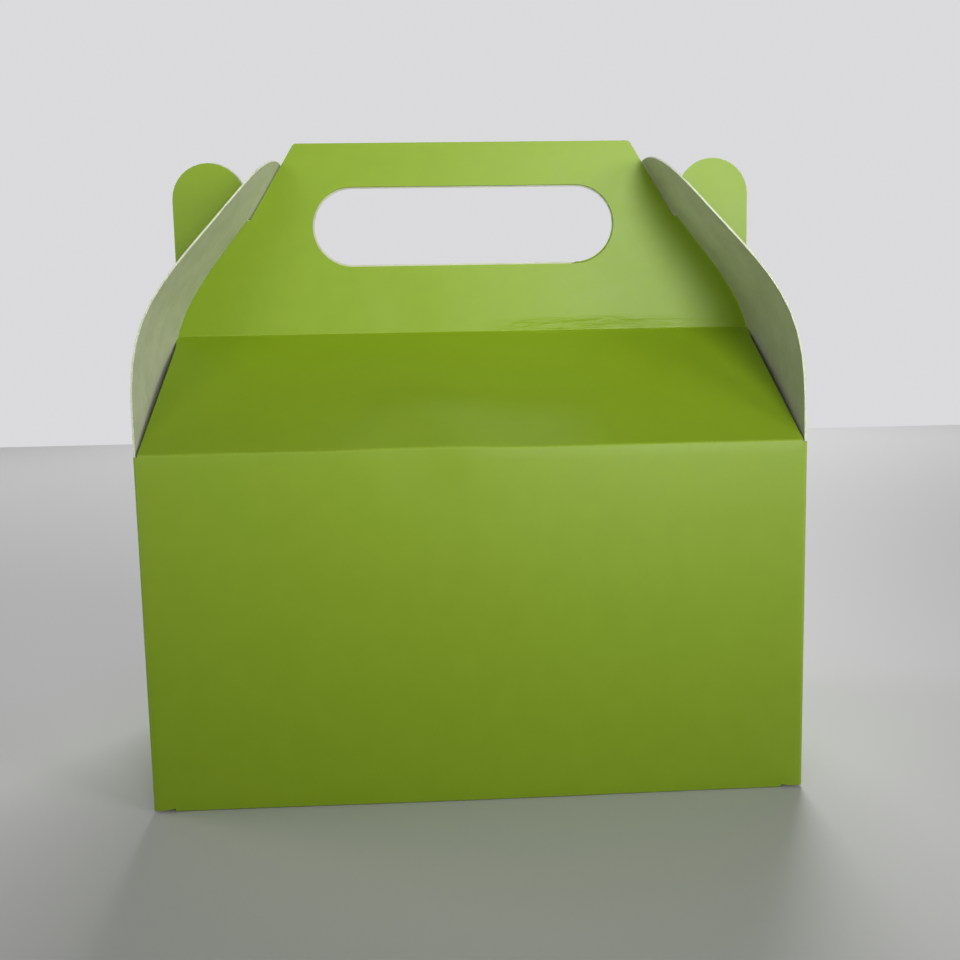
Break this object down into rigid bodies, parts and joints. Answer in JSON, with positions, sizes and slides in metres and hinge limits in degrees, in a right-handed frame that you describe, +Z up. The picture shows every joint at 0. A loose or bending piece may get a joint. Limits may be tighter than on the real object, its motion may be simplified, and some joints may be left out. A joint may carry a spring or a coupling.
{
  "type": "candy box",
  "caption": "Gable-top carton with a carry handle, folded from one sheet of coated card: upright walls, sloped roof, bowed side ears locked over fingers, and a snap-lock bottom.",
  "frame": {"origin": "centre of the footprint, on the ground", "axes": "+Z up towards the handle, +X along the handle, -Y out of the front wall"},
  "size_m": [0.1624, 0.09, 0.1674],
  "materials": {
    "coated_card": "satin-coated green outside, uncoated grey-white inside and at the cut edges"
  },
  "bodies": {
    "root": {"folded_carton": "coated_card"}
  },
  "joints": []
}
